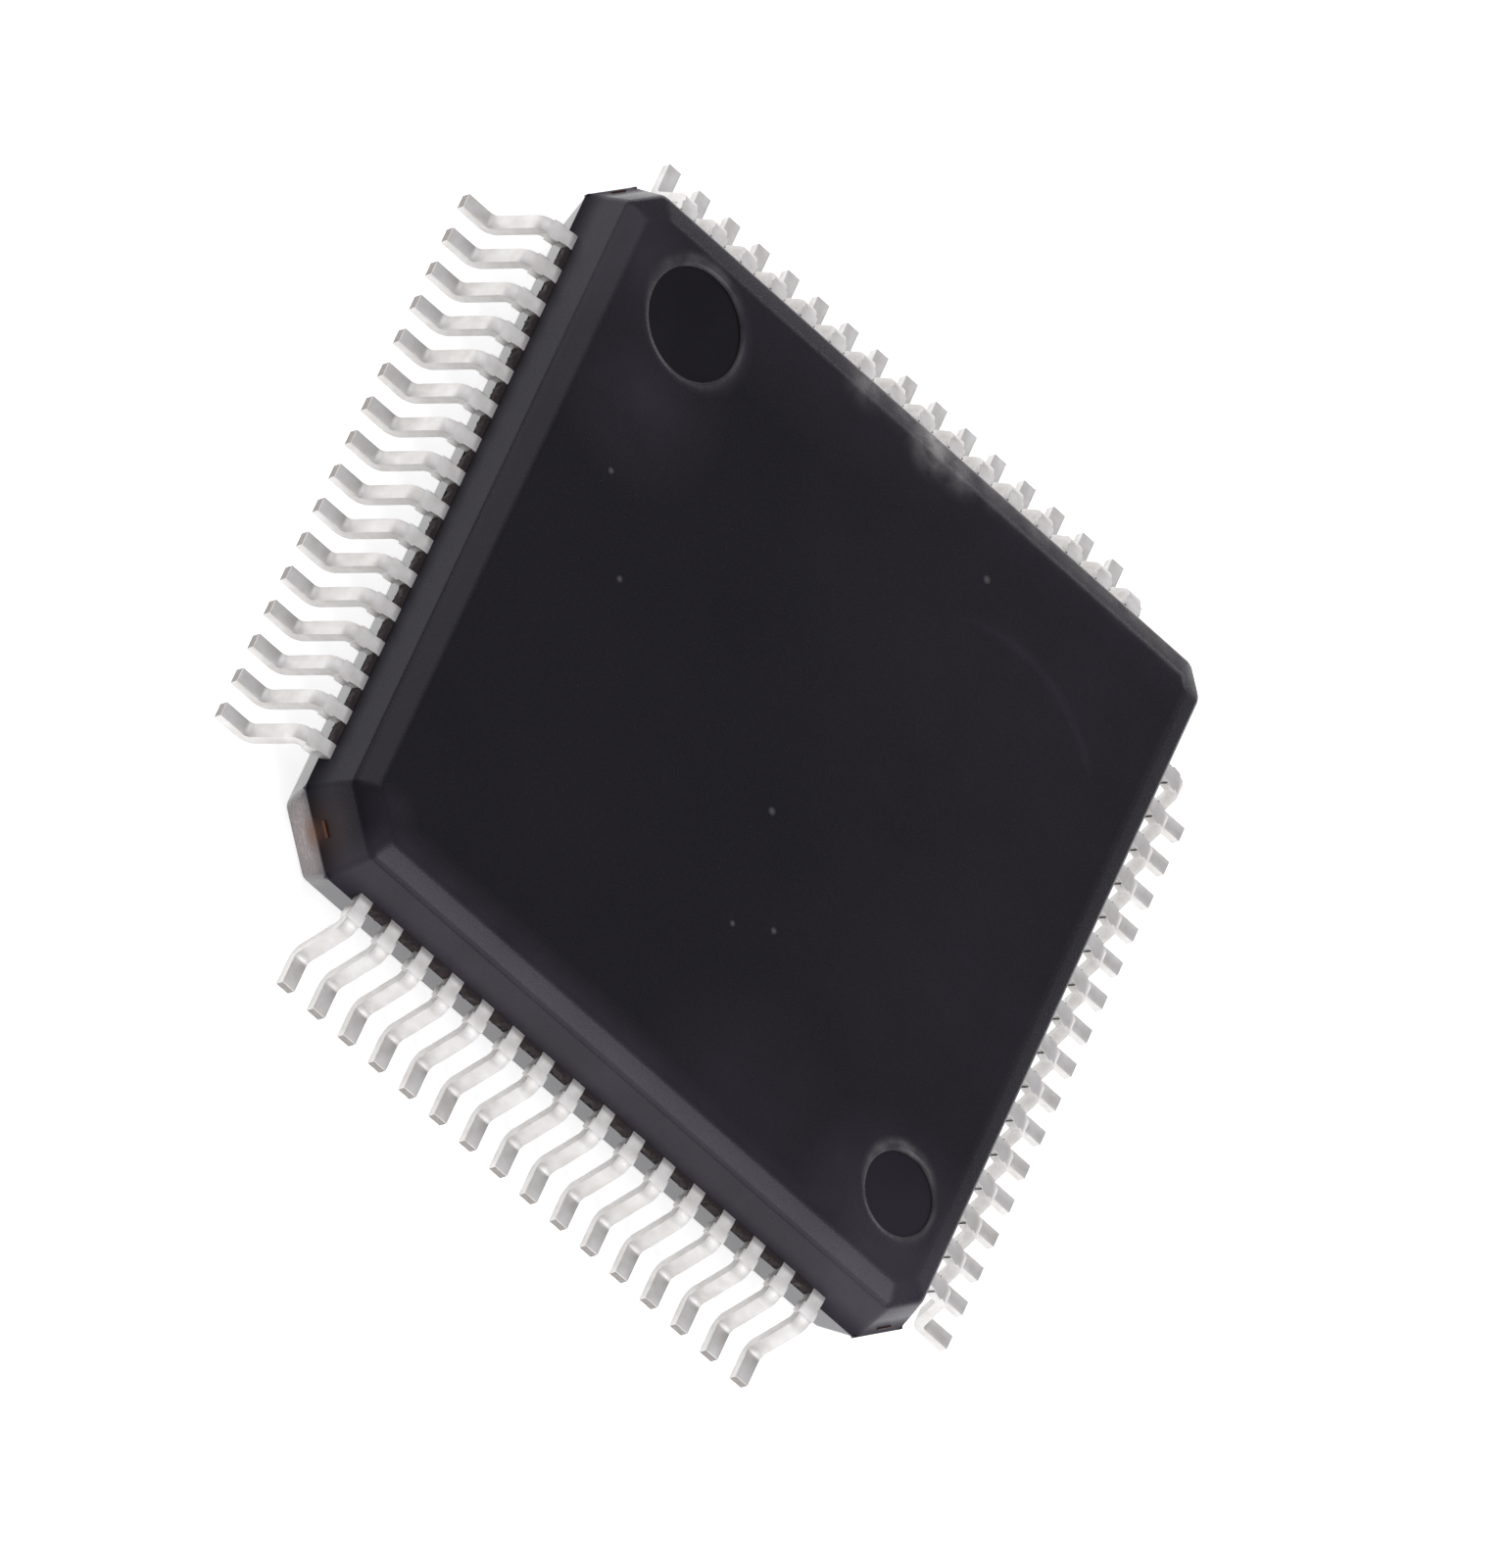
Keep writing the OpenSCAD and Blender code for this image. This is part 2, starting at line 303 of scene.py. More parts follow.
# The rubs at the back edge are wear; the pale crescents on the rims of the marks are painted
# highlights
SCUFFS_AND_RIM_HIGHLIGHTS = (  # rubs at the back edge, and then on the rims of the marks
    ((0.15, 4.68, TOP_Z), 0.05, 0.60, 1.0),
    ((0.60, 4.62, TOP_Z), 0.05, 0.48, 0.75),
    ((-0.40, 4.74, TOP_Z), 0.02, 0.46, 0.65),
    ((-1.00, 4.68, TOP_Z), 0.02, 0.50, 0.75),
    ((1.15, 4.70, TOP_Z), 0.02, 0.40, 0.5),
    ((1.85, 4.74, TOP_Z), 0.02, 0.38, 0.6),
    ((2.25, 4.80, TOP_Z), 0.02, 0.30, 0.6),
    ((3.15, 4.76, TOP_Z), 0.02, 0.36, 0.6),
    ((3.70, 4.76, TOP_Z), 0.02, 0.36, 0.6),
    # Painted highlights: pale crescents on the rims of the two marks, not rubs
    ((3.79, -3.47, TOP_Z), 0.50, 0.60, 0.48),
    ((3.87, -3.59, TOP_Z), 0.50, 0.60, 0.30),
    ((-3.44, 3.74, TOP_Z), 0.68, 0.78, 0.38),
    ((-3.33, 3.60, TOP_Z), 0.68, 0.78, 0.30),
)
SPECKS = (  # specks of bare filler: just the place and where each ends
    ((1.50, 3.67, TOP_Z), 0.06),
    ((-3.56, 1.32, TOP_Z), 0.05),
    ((-2.86, 0.27, TOP_Z), 0.05),
    ((0.22, -0.75, TOP_Z), 0.06),
    ((0.90, -1.98, TOP_Z), 0.05),
    ((0.37, -2.28, TOP_Z), 0.045),
)
SPECK_CORE, SPECK_STRENGTH = 0.2, 0.20
SWIRL_CENTRE, SWIRL_RADIUS = (2.3, 1.2, TOP_Z), 2.05
SWIRL_START, SWIRL_END = SWIRL_RADIUS - 0.6, SWIRL_RADIUS + 0.4
SWIRL_PART = ((2.8, 3.4, TOP_Z), 1.0, 2.0)
SWIRL_STROKES = 1.9  # strokes in a millimetre
# Rough break at the gate, its pale colour partly painted reflection of the floor
GATE_BREAK_AND_REFLECTION = ((-4.56, -4.56, 0.38), 0.25, 0.62)
TIE_BAR_STAIN = ((-4.60, -4.60, 0.84), 0.05, 0.45, 0.8)
TIE_BAR_SMEAR = ((-4.62, -4.62, 0.62), 0.0, 0.24, 0.7)
TIE_BAR_END = ((0.0, 0.0, 0.0), 6.4, 6.2)  # full from 6.4 mm outwards
LOWER_HALF = (0.72, 0.75)  # the level up to which it is full, and the level where it ends
BLASTED_BAND = (0.74, 0.76, 1.18)  # the levels where it starts, is full and ends

# Filled epoxy shines a little less than clear epoxy does, and moulded black has a violet cast
EPOXY = {"IOR": 1.5, "Specular IOR Level": 0.29}
MOULDED_EPOXY = {**EPOXY, "Specular Tint": srgb("#F8F3FF")}
# Colour of the pale films, which also paint reflection on the top and the walls
FILM_AND_REFLECTION_COLOUR = srgb("#37333C")


def moulding_compound(picked):
    """Epoxy moulding compound, black and full of fine silica, moulded in a spark-eroded tool:
    an even, slightly silky matte with a film that is partly painted reflection, a wiped swirl, a
    few knocks and painted highlights on the rims of the marks."""
    material, tree, coordinates = new_material("epoxy_moulding_compound")
    place = add_node(tree, "SeparateXYZ", (coordinates,))
    height = place.outputs["Z"]
    cloud, patches, smudges, crumbs, pits = (
        add_node(tree, "TexNoise", {"Vector": coordinates, "Scale": spots(size), "Detail": detail})
        # The last is the erosion of the tool, whose pits are about 0.02 mm across
        for size, detail in ((1.6, 3.0), (0.7, 4.0), (0.22, 4.0), (0.06, 4.0), (0.02, 3.0))
    )

    # Haze, thicker towards two of the edges, and the swirl that a cloth wiped in it. The
    # thickening towards the edges and the broad spread towards +X and +Y are painted reflection,
    # lighter where more light would be reflected.
    points = coordinates, tuple(c * MM for c in SWIRL_CENTRE)
    from_centre = add_node(tree, "VectorMath", points, operation="DISTANCE").outputs["Value"]
    stroke_inputs = {"W": from_centre, "Scale": SWIRL_STROKES / MM}
    strokes = add_node(tree, "TexNoise", stroke_inputs, noise_dimensions="1D")
    swirl = join_masks(
        tree, "MULTIPLY",
        fade(tree, coordinates, SWIRL_CENTRE, SWIRL_RADIUS, SWIRL_START),
        fade(tree, coordinates, SWIRL_CENTRE, SWIRL_RADIUS, SWIRL_END),
        add_node(tree, "MapRange", (strokes, *NOISE, 0.15, 0.6)),
        fade(tree, coordinates, *SWIRL_PART),
    )
    films = join_masks(
        tree, "MAXIMUM", *(fade(tree, coordinates, *film) for film in HAZE_AND_REFLECTION), swirl,
        *(edge_mask(tree, place, *film) for film in EDGE_REFLECTION_FILMS),
    )
    patchy = add_node(tree, "MapRange", (patches, *NOISE, 0.6, 1.0))
    haze_and_reflection = join_masks(tree, "MULTIPLY", films, patchy)

    # Rubs and specks, where the pale silica shows through, and painted highlights on the rims of
    # the marks in the same pale colour
    rubs_and_highlights = join_masks(
        tree, "MAXIMUM", edge_mask(tree, place, *RUBBED_EDGE),
        *(fade(tree, coordinates, *pale_spot) for pale_spot in SCUFFS_AND_RIM_HIGHLIGHTS),
    )
    smoke = add_node(tree, "MapRange", (smudges, 0.32, 0.66, 0.25, 1.0))
    rubs_and_highlights = join_masks(tree, "MULTIPLY", rubs_and_highlights, rubs_and_highlights, smoke)
    bare_and_highlights = join_masks(tree, "MAXIMUM", rubs_and_highlights, *(
        fade(tree, coordinates, spot, SPECK_CORE * reach, reach, SPECK_STRENGTH)
        for spot, reach in SPECKS
    ))

    # The runner was broken off the lower half of one corner and left a rough break. Its pale, warm
    # colour is partly painted reflection of the white floor on that lower corner wall.
    low, high = LOWER_HALF
    lower = add_node(tree, "MapRange", (height, low * MM, high * MM, 1.0, 0.0))
    crumbly = add_node(tree, "MapRange", (crumbs, *NOISE, 0.55, 1.0))
    gate = join_masks(tree, "MULTIPLY", lower, fade(tree, coordinates, *GATE_BREAK_AND_REFLECTION), crumbly)

    colour = lay_over(
        tree, mottle(tree, cloud, picked, srgb("#110F16")),
        (haze_and_reflection, FILM_AND_REFLECTION_COLOUR),
        (bare_and_highlights, srgb("#A9A6A4")),
        (gate, srgb("#9C9391")),
        (fade(tree, coordinates, *TIE_BAR_STAIN), srgb("#2E1D16")),
        (fade(tree, coordinates, *TIE_BAR_SMEAR), srgb("#6E4A33")),
    )

    # Blasting off the flash left the wall dull just above the leads
    start, full, end = (level * MM for level in BLASTED_BAND)
    blasted = join_masks(
        tree, "MULTIPLY",
        add_node(tree, "MapRange", (height, full, end, 1.0, 0.0)),
        add_node(tree, "MapRange", (height, start, full, 0.0, 1.0)),
    )
    # The lower half of the tool was the smoother one
    even = join_masks(
        tree, "MULTIPLY",
        add_node(tree, "MapRange", (pits, *NOISE, 0.25, 0.32)),
        add_node(tree, "MapRange", (lower, 0.0, 1.0, 1.0, 0.45)),
    )
    rough = join_masks(
        tree, "MAXIMUM", even,
        add_node(tree, "MapRange", (bare_and_highlights, 0.0, 1.0, 0.0, 0.7)),
        add_node(tree, "MapRange", (gate, 0.0, 1.0, 0.0, 0.8)),
        blasted,
    )
    shallow = add_node(tree, "MapRange", (lower, 0.0, 1.0, 1.0, 0.3))
    torn = add_node(tree, "MapRange", (gate, 0.0, 1.0, 0.0, 12.0))
    relief = join_masks(
        tree, "ADD",
        join_masks(tree, "MULTIPLY", pits, shallow), join_masks(tree, "MULTIPLY", crumbs, torn),
    )
    return finish_material(material, {
        **MOULDED_EPOXY, "Base Color": colour, "Roughness": rough,
        "Normal": add_node(tree, "Bump", {"Height": relief, "Distance": 0.0015 * MM}),
    })


def pressed_compound(picked):
    """The same epoxy where a polished pin pressed it: smoother and darker than round it, under the
    top's film, which is partly painted reflection.
    """
    material, tree, coordinates = new_material("epoxy_pressed_smooth")
    cloud, ripple = (
        add_node(tree, "TexNoise", {"Vector": coordinates, "Scale": spots(size)})
        for size in (0.6, 0.05)
    )
    # The top's film runs on over the mark, and like it is partly painted reflection
    film = fade(tree, coordinates, *PRESSED_FILM_AND_REFLECTION)
    return finish_material(material, {
        **MOULDED_EPOXY,
        "Base Color": lay_over(
            tree, mottle(tree, cloud, picked, srgb("#0F0D14")), (film, FILM_AND_REFLECTION_COLOUR)
        ),
        "Roughness": add_node(tree, "MapRange", (cloud, *NOISE, 0.20, 0.26)),
        "Normal": add_node(tree, "Bump", {"Height": ripple, "Distance": 0.0004 * MM}),
    })


def torn_compound_and_shade(picked):
    """Epoxy flash that the trimming punch tore off: crumbly, dull and a little brown. Laid as dark
    webs between the leads, it also paints the shade at the lead roots.
    """
    material, tree, coordinates = new_material("epoxy_flash_torn_and_shade")
    noise = {"Vector": coordinates, "Scale": spots(0.03), "Detail": 4.0}
    crumbs = add_node(tree, "TexNoise", noise)
    return finish_material(material, {
        **EPOXY,
        "Base Color": mottle(tree, crumbs, picked, srgb("#3F3535")),
        "Roughness": add_node(tree, "MapRange", (crumbs, *NOISE, 0.55, 0.8)),
        "Normal": add_node(tree, "Bump", {"Height": crumbs, "Distance": 0.006 * MM}),
    })


def tin_plating(picked):
    """Matte tin, plated on stamped copper sheet: a soft grey silver with a faint grain."""
    material, tree, coordinates = new_material("matte_tin_plating")
    patches, crystals = (
        add_node(tree, "TexNoise", {"Vector": coordinates, "Scale": spots(size), "Detail": detail})
        # Tin crystals are 0.005 mm across, drawn at 0.015 mm so that they show
        for size, detail in ((0.18, 3.0), (0.015, 2.0))
    )
    return finish_material(material, {
        "Metallic": 1.0,
        "Base Color": mottle(tree, patches, picked, srgb("#D2CFCC")),
        "Roughness": add_node(tree, "MapRange", (crystals, *NOISE, 0.45, 0.56)),
        "Normal": add_node(tree, "Bump", {"Height": crystals, "Distance": 0.0006 * MM}),
    })


def sheared_end(picked):
    """Copper and tin smeared together where a lead was cut off after plating: dull and dark."""
    material, tree, coordinates = new_material("sheared_copper_and_tin")
    noise = {"Vector": coordinates, "Scale": spots(0.03), "Detail": 3.0}
    smear = add_node(tree, "TexNoise", noise)
    return finish_material(material, {
        "Metallic": 1.0, "Roughness": 0.5,
        "Base Color": mottle(tree, smear, picked, srgb("#8F8985")),
        "Normal": add_node(tree, "Bump", {"Height": smear, "Distance": 0.001 * MM}),
    })


def lead_frame_copper():
    """Rolled copper sheet of the die pad, browned by the heat of moulding. The tie bars' cut
    ends, which show in the cut corners, have gone a dull brown."""
    material, tree, coordinates = new_material("rolled_copper_sheet")
    noise = {"Vector": coordinates, "Scale": spots(0.1), "Detail": 3.0}
    tarnish = add_node(tree, "TexNoise", noise)
    ends = fade(tree, coordinates, *TIE_BAR_END)
    return finish_material(material, {
        "Metallic": 1.0, "Roughness": 0.45,
        "Base Color": lay_over(
            tree, mottle(tree, tarnish, srgb("#7A543E"), srgb("#573C2D")), (ends, srgb("#4A3026"))
        ),
        "Normal": add_node(tree, "Bump", {"Height": tarnish, "Distance": 0.0008 * MM}),
    })


def silver_adhesive():
    """Epoxy paste filled with silver flakes, cured to a dull grey film."""
    material, tree, coordinates = new_material("silver_filled_adhesive")
    noise = {"Vector": coordinates, "Scale": spots(0.03), "Detail": 3.0}
    flakes = add_node(tree, "TexNoise", noise)
    return finish_material(material, {
        "Metallic": 0.5, "Roughness": 0.6,
        "Base Color": mottle(tree, flakes, srgb("#8C8B86"), srgb("#B7B5AE")),
        "Normal": add_node(tree, "Bump", {"Height": flakes, "Distance": 0.002 * MM}),
    })


def silicon():
    """Polished silicon under clear nitride: dark blue-grey, with a plain grid of blocks."""
    material, tree, coordinates = new_material("silicon_die")
    grid = {"Vector": coordinates, "Scale": spots(0.4)}
    blocks = add_node(tree, "TexVoronoi", grid, distance="CHEBYCHEV").outputs["Color"]
    tone = add_node(tree, "SeparateColor", {"Color": blocks}).outputs["Red"]
    return finish_material(material, {
        "Metallic": 0.6, "Roughness": 0.15,
        "Base Color": lay_over(tree, srgb("#3B4358"), (tone, srgb("#6C6A86"))),
    })


def drawn_gold():
    """Soft drawn gold wire: bright yellow, a little uneven."""
    material, tree, coordinates = new_material("drawn_gold_wire")
    lines = add_node(tree, "TexNoise", {"Vector": coordinates, "Scale": spots(0.02)})
    return finish_material(material, {
        "Metallic": 1.0, "Roughness": 0.2,
        "Base Color": mottle(tree, lines, srgb("#F0C25A"), srgb("#E0A93E")),
    })


def white_paper(picked, glow):
    """Smooth white backdrop paper, lit from below as on a light table."""
    material, tree, coordinates = new_material("white_backdrop_paper")
    fibres = add_node(tree, "TexNoise", {"Vector": coordinates, "Scale": spots(0.5)})
    return finish_material(material, {
        "Roughness": 0.9, "Specular IOR Level": 0.2,
        "Emission Color": srgb("#FFFFFF"), "Emission Strength": glow,
        "Base Color": mottle(tree, fibres, picked, srgb("#F3F3F2")),
    })


# ---------------------------------------------------------------- modelling by hand

ROUND_POINTS = 96  # round the marks and the floor
RIM_STEPS = 6
COVE_STEPS = 8


def start_clean():
    """Leaves edit mode and selects nothing."""
    if bpy.context.object and bpy.context.object.mode != "OBJECT":
        bpy.ops.object.mode_set(mode="OBJECT")
    bpy.ops.object.select_all(action="DESELECT")


def pick(obj, kind, test):
    """In edit mode, selects just the vertices, edges or faces that pass the test."""
    bpy.ops.mesh.select_mode(type=kind)
    bpy.ops.mesh.select_all(action="DESELECT")
    mesh = bmesh.from_edit_mesh(obj.data)
    elements = {"VERT": mesh.verts, "EDGE": mesh.edges, "FACE": mesh.faces}[kind]
    picked = [element for element in elements if test(element)]
    if not picked:
        raise RuntimeError(f"{obj.name} has no {kind.lower()} in the place that is worked on")
    for element in picked:
        element.select_set(True)
    mesh.select_flush_mode()
    bmesh.update_edit_mesh(obj.data)


def apply_modifier(obj, kind, **settings):
    """Adds a modifier with its settings and applies it."""
    modifier = obj.modifiers.new(kind.title(), kind)
    for key, value in settings.items():
        setattr(modifier, key, value)
    bpy.context.view_layer.objects.active = obj
    bpy.ops.object.modifier_apply(modifier=modifier.name)


def smooth_by_angle(obj, degrees):
    """Smooths the edges that turn by less than an angle."""
    start_clean()
    obj.select_set(True)
    bpy.context.view_layer.objects.active = obj
    bpy.ops.object.shade_smooth_by_angle(angle=math.radians(degrees))


def settle(obj):
    """Puts an object's place into its mesh."""
    start_clean()
    obj.select_set(True)
    bpy.context.view_layer.objects.active = obj
    bpy.ops.object.transform_apply(location=True, rotation=True, scale=True)


def copy_to_side(piece, side, across):
    """A copy with its own mesh, so far along one of the four sides."""
    copy = piece.copy()
    copy.data = piece.data.copy()
    bpy.context.collection.objects.link(copy)
    turn = Matrix.Rotation(side * SIDE_TURN, 4, "Z")
    copy.matrix_world = turn @ Matrix.Translation((0, across, 0))
    return copy


def join(copies):
    """Joins copies to one piece, with its place in its mesh."""
    start_clean()
    for copy in copies:
        copy.select_set(True)
    bpy.context.view_layer.objects.active = copies[0]
    bpy.ops.object.join()
    settle(copies[0])
    return copies[0]


def round_mark_cutter(x, y, r, settings):
    """The shape that a round pin presses into the top, with a rim that is rounded outwards."""
    floor_z = BODY_HIGH.z - settings.mark_depth
    start_clean()
    bpy.ops.mesh.primitive_circle_add(
        vertices=ROUND_POINTS, radius=r, fill_type="NGON", location=(x, y, floor_z)
    )
    cutter = bpy.context.object
    bpy.ops.object.mode_set(mode="EDIT")
    bpy.ops.mesh.select_all(action="SELECT")
    # The wall rises, then turns outwards over the rim in equal steps
    rise = settings.mark_depth - settings.rim_h
    bpy.ops.mesh.extrude_region_move(TRANSFORM_OT_translate={"value": (0, 0, rise)})
    radius, height = r, 0.0
    for step in range(1, RIM_STEPS + 1):
        turn = math.pi / 2 * step / RIM_STEPS
        wider = r + settings.rim_w * (1 - math.cos(turn))
        higher = settings.rim_h * math.sin(turn)
        bpy.ops.mesh.extrude_region_move(
            TRANSFORM_OT_translate={"value": (0, 0, higher - height)}
        )
        scale = wider / radius
        bpy.ops.transform.resize(value=(scale, scale, 1), center_override=(x, y, BODY_HIGH.z))
        radius, height = wider, higher
    bpy.ops.mesh.extrude_region_move(TRANSFORM_OT_translate={"value": (0, 0, settings.rim_w)})
    bpy.ops.mesh.select_all(action="SELECT")
    bpy.ops.mesh.normals_make_consistent(inside=False)
    bpy.ops.object.mode_set(mode="OBJECT")
    settle(cutter)
    return cutter


def finish_mesh(piece, smooth_degrees):
    """Smooths the rounded edges and leaves the flat faces flat."""
    smooth_by_angle(piece, smooth_degrees)
    apply_modifier(piece, "WEIGHTED_NORMAL", weight=100, keep_sharp=True)


def ride(piece, name, slot, *nodes):
    """Names a finished piece, gives it its body and hides the nodes that it stands for; its slot
    is not used.
    """
    piece.name = piece.data.name = name
    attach(piece, "root")
    if nodes:
        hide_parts(*nodes)


# ---------------------------------------------------------------- moulded body


class CHIP_OT_body(bpy.types.Operator):
    """Model the moulded body with its drafted walls, cut corners and two round marks"""

    bl_idname = "chip.body"
    bl_label = "Moulded Body"

    def execute(self, context):
        s = context.scene.chip_body
        half = BODY_HIGH.x
        split_z = (BODY_LOW.z + BODY_HIGH.z) / 2

        # Plan of the parting line: a square with its corners cut
        start_clean()
        bpy.ops.mesh.primitive_plane_add(size=2 * half, location=(0, 0, split_z - s.land / 2))
        body = context.object
        bpy.ops.object.mode_set(mode="EDIT")
        for x, y, leg in (
            (-1, -1, s.cut_gate), (1, -1, s.cut_pin_1), (1, 1, s.cut_far), (-1, 1, s.cut_left),
        ):
            pick(body, "VERT", lambda v: min(v.co.x * x, v.co.y * y) > half - SLACK)
            bpy.ops.mesh.bevel(offset=leg, offset_type="OFFSET", segments=1, affect="VERTICES")

        # Both halves of the mould draw away from the parting line
        bpy.ops.mesh.select_all(action="SELECT")
        bpy.ops.mesh.extrude_region_move(TRANSFORM_OT_translate={"value": (0, 0, s.land)})
        wall_h = BODY_HIGH.z - s.bevel_h - split_z - s.land / 2
        foot_h = split_z - BODY_LOW.z - s.land / 2
        pick(body, "FACE", lambda f: f.normal.z > SQUARE)
        bpy.ops.mesh.inset(thickness=wall_h * math.tan(s.draft), depth=wall_h)
        bpy.ops.mesh.inset(thickness=s.bevel_w, depth=s.bevel_h)
        pick(body, "FACE", lambda f: f.normal.z < -SQUARE)
        bpy.ops.mesh.inset(thickness=foot_h * math.tan(s.draft), depth=foot_h)

        # All edges are rounded but those of the parting line
        pick(body, "EDGE", lambda e: any(
            v.co.z < -SLACK or v.co.z > s.land + SLACK for v in e.verts
        ))
        bpy.ops.mesh.bevel(
            offset=s.edge_r, offset_type="OFFSET", segments=3, affect="EDGES", clamp_overlap=True
        )
        bpy.ops.object.mode_set(mode="OBJECT")
        settle(body)

        for x, y, r in (
            (s.pin_1_mark_x, -s.pin_1_mark_y, s.pin_1_mark_r),
            (-s.ejector_mark_x, s.ejector_mark_y, s.ejector_mark_r),
        ):
            cutter = round_mark_cutter(x, y, r, s)
            apply_modifier(body, "BOOLEAN", operation="DIFFERENCE", solver="EXACT", object=cutter)
            bpy.data.objects.remove(cutter)

        body.data.materials.clear()
        body.data.materials.append(moulding_compound(s.compound))
        body.data.materials.append(pressed_compound(s.compound))
        for face in body.data.polygons:
            depth = BODY_HIGH.z - face.center.z
            pressed = face.normal.z > SQUARE and abs(depth - s.mark_depth) < s.mark_depth / 4
            face.material_index = int(pressed)
        finish_mesh(body, 35)
        ride(body, "moulded_body", "moulding_compound", "body")
        return {"FINISHED"}


# ---------------------------------------------------------------- flash between the leads, also painted shade at their roots

TEAR_CUTS = 7  # points along the torn edge of a web, between its corners
TEAR_SEED = 64


class CHIP_OT_flash(bpy.types.Operator):
    """Model the web of resin flash between two leads and set its torn copies round the body, as
    dark webs that also paint the shade at the lead roots
    """

    bl_idname = "chip.flash"
    bl_label = "Resin Flash"

    def execute(self, context):
        s, leads = context.scene.chip_flash, context.scene.chip_leads
        root_x = BODY_HIGH.x - s.root
        low_z = LEAD_HIGH.z - leads.sheet_t + s.sunk
        high_z = LEAD_HIGH.z - s.sunk
        width = LEAD_PITCH - 2 * s.gap

        # One web, first as a unit block, its outer edge in short pieces that can be torn
        start_clean()
        bpy.ops.mesh.primitive_plane_add(size=1, location=(0.5, 0, 0))
        web = context.object
        bpy.ops.object.mode_set(mode="EDIT")
        pick(web, "EDGE", lambda e: all(v.co.x > 0 for v in e.verts))
        bpy.ops.mesh.subdivide(number_cuts=TEAR_CUTS)
        bpy.ops.mesh.select_all(action="SELECT")
        bpy.ops.mesh.extrude_region_move(TRANSFORM_OT_translate={"value": (0, 0, 1)})
        bpy.ops.mesh.select_all(action="SELECT")
        bpy.ops.mesh.normals_make_consistent(inside=False)
        bpy.ops.object.mode_set(mode="OBJECT")
        web.location = (root_x, 0, low_z)
        web.scale = (BODY_HIGH.x + s.reach - root_x, width, high_z - low_z)
        settle(web)
        web.data.materials.clear()
        web.data.materials.append(torn_compound_and_shade(s.resin))

        tears = random.Random(TEAR_SEED)
        copies = []
        for side in range(SIDES):
            for place in range(LEADS_A_SIDE - 1):
                across = (place - LEADS_A_SIDE / 2 + 1) * LEAD_PITCH
                copy = copy_to_side(web, side, across)
                for vertex in copy.data.vertices:
                    if vertex.co.x > BODY_HIGH.x:
                        vertex.co.x += tears.uniform(-s.rag, s.rag)
                copies.append(copy)
        bpy.data.objects.remove(web)
        flash = join(copies)
        apply_modifier(
            flash, "BEVEL", width=s.edge_r, segments=1, limit_method="ANGLE",
            angle_limit=math.radians(60),
        )
        finish_mesh(flash, 40)
        ride(flash, "resin_flash_and_shade", "moulding_compound")
        return {"FINISHED"}


# ---------------------------------------------------------------- leads

ROOT_STEPS, HEEL_STEPS, TOE_STEPS = 3, 8, 10  # faces round each bend


def run_on(length, heading):
    """Draws the selected end of a strip out along its heading."""
    step = (length * math.cos(heading), 0, length * math.sin(heading))
    bpy.ops.mesh.extrude_region_move(TRANSFORM_OT_translate={"value": step})


def bend(corner, before, after, radius, steps):
    """Turns the selected end of a strip about the inside of the corner between two headings."""
    turn = after - before
    side = 1 if turn > 0 else -1
    middle = (before + after) / 2
    reach = side * radius / math.cos(turn / 2)
    centre = (corner[0] - reach * math.sin(middle), 0, corner[1] + reach * math.cos(middle))
    bpy.ops.mesh.spin(steps=steps, angle=turn, center=centre, axis=(0, 1, 0))


def tangent(before, after, radius):
    """Length that a bend takes from the straight on each side of its corner."""
    return radius * math.tan(abs(after - before) / 2)


